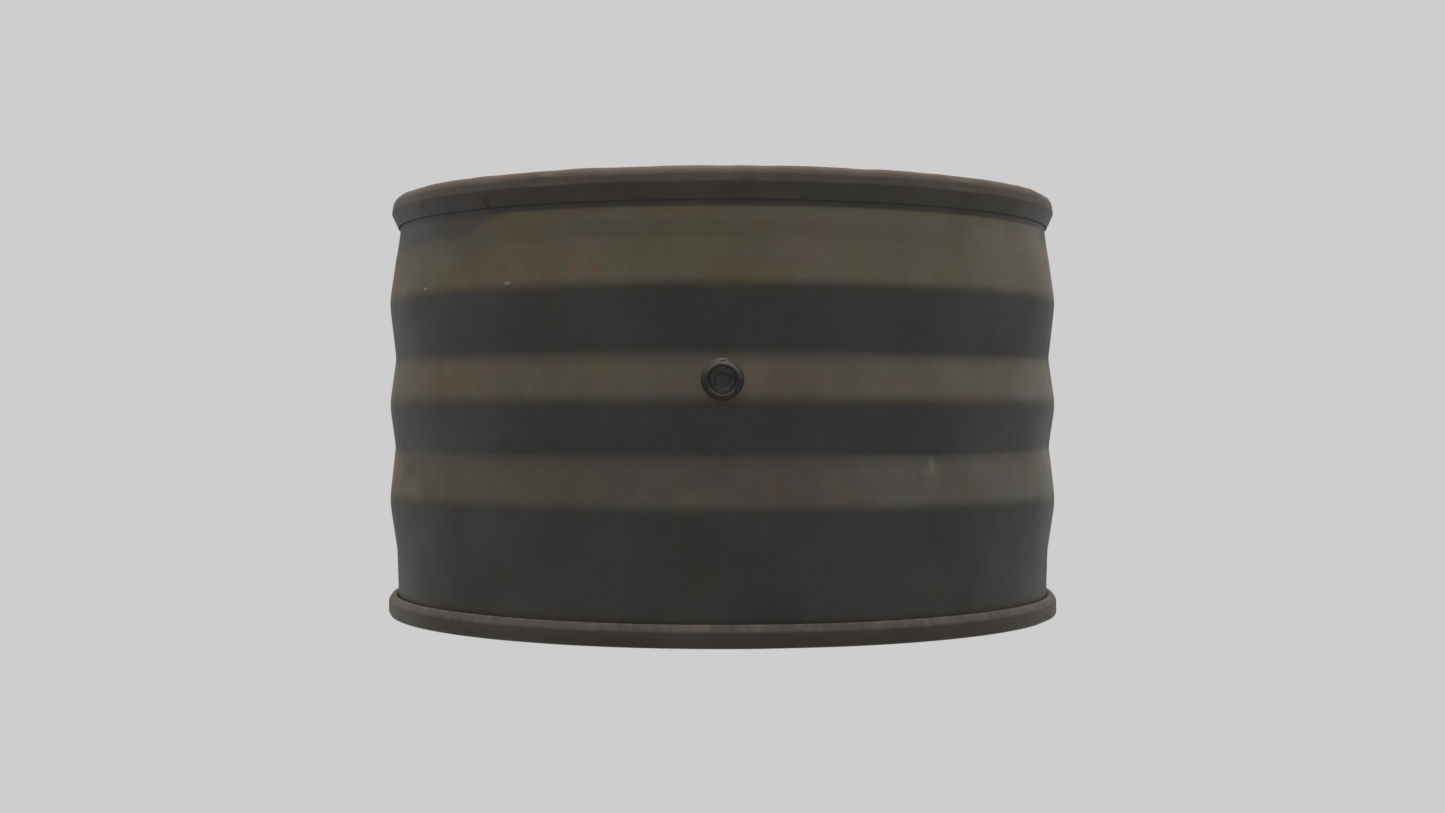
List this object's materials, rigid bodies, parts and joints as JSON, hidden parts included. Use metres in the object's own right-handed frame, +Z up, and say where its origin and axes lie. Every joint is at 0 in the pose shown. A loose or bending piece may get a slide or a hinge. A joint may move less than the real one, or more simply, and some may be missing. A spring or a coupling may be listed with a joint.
{
  "type": "steel oil drum",
  "caption": "Short open-head steel drum with rolled hoops, seamed bottom chime, side fitting, gasketed lid with two threaded bungs and a bolted closing ring.",
  "frame": {"origin": "on the drum axis in the plane of the bottom chime, where the drum stands", "axes": "+Z up along the drum axis, -Y out of the side fitting, +X towards the two inch bung, +Y towards the ring bolt"},
  "size_m": [0.585, 0.626, 0.358],
  "materials": {
    "olive_paint": "worn matt olive paint",
    "ring_paint": "worn matt olive paint, scuffed",
    "zinc_steel": "dull zinc plated",
    "rubber": "matt",
    "seam_compound": "matt"
  },
  "bodies": {
    "drum": {"shell": "olive_paint", "side_seam_weld": "olive_paint", "bottom_head": "olive_paint", "seam_compound": "seam_compound", "side_socket": "olive_paint", "side_socket_weld": "olive_paint"},
    "side_plug_travel": {"side_plug_gasket": "rubber"},
    "side_plug_turning": {"side_plug": "zinc_steel"},
    "lid": {"lid": "olive_paint", "lid_gasket": "rubber", "bung_flange": "zinc_steel", "bung_flange_gasket": "rubber", "vent_flange": "zinc_steel", "vent_flange_gasket": "rubber"},
    "bung_travel": {"bung_plug_gasket": "rubber"},
    "bung_turning": {"bung_plug": "zinc_steel"},
    "vent_travel": {"vent_plug_gasket": "rubber"},
    "vent_turning": {"vent_plug": "zinc_steel"},
    "closing_ring": {"ring_band": "ring_paint", "ring_lug_plain": "ring_paint", "ring_lug_threaded": "ring_paint"},
    "bolt_travel": {"bolt_washer": "zinc_steel"},
    "bolt_turning": {"closing_bolt": "zinc_steel"},
    "nut_travel": {"lock_washer": "zinc_steel"},
    "nut_turning": {"jam_nut": "zinc_steel"}
  },
  "joints": [
    {"name": "lid_lift", "type": "slide", "parent": "drum", "child": "lid", "axis": [0, 0, 1], "range_m": [0, 0.15]},
    {"name": "ring_lift", "type": "slide", "parent": "lid", "child": "closing_ring", "axis": [0, 0, 1], "range_m": [0, 0.08], "deforming": ["ring_band"]},
    {"name": "side_plug_advance", "type": "slide", "parent": "drum", "child": "side_plug_travel", "axis": [0, -1, 0], "range_m": [0, 0.0127]},
    {"name": "side_plug_turn", "type": "hinge", "parent": "side_plug_travel", "child": "side_plug_turning", "pos_m": [0, -0.2935, 0.198], "axis": [0, -1, 0], "range_deg": [0, 2520]},
    {"name": "bung_advance", "type": "slide", "parent": "lid", "child": "bung_travel", "axis": [0, 0, 1], "range_m": [0, 0.01325]},
    {"name": "bung_turn", "type": "hinge", "parent": "bung_travel", "child": "bung_turning", "pos_m": [0.212, 0, 0.348], "axis": [0, 0, 1], "range_deg": [0, 2160]},
    {"name": "vent_advance", "type": "slide", "parent": "lid", "child": "vent_travel", "axis": [0, 0, 1], "range_m": [0, 0.0127]},
    {"name": "vent_turn", "type": "hinge", "parent": "vent_travel", "child": "vent_turning", "pos_m": [-0.212, 0, 0.348], "axis": [0, 0, 1], "range_deg": [0, 2520]},
    {"name": "bolt_advance", "type": "slide", "parent": "closing_ring", "child": "bolt_travel", "axis": [1, 0, 0], "range_m": [0, 0.03002]},
    {"name": "bolt_turn", "type": "hinge", "parent": "bolt_travel", "child": "bolt_turning", "pos_m": [0.0326, 0.306, 0.342], "axis": [1, 0, 0], "range_deg": [0, 4680]},
    {"name": "nut_advance", "type": "slide", "parent": "closing_ring", "child": "nut_travel", "axis": [-1, 0, 0], "range_m": [0, 0.00693]},
    {"name": "nut_turn", "type": "hinge", "parent": "nut_travel", "child": "nut_turning", "pos_m": [0.0074, 0.306, 0.342], "axis": [-1, 0, 0], "range_deg": [0, 1080]}
  ],
  "couplings": [
    {"joint": "side_plug_advance", "follows": "side_plug_turn", "m_per_rad": 0.00028875},
    {"joint": "bung_advance", "follows": "bung_turn", "m_per_rad": 0.00035152},
    {"joint": "vent_advance", "follows": "vent_turn", "m_per_rad": 0.00028875},
    {"joint": "bolt_turn", "follows": "bolt_advance", "rad_per_m": 2721.1},
    {"joint": "nut_advance", "follows": "nut_turn", "m_per_rad": 0.0003675}
  ]
}
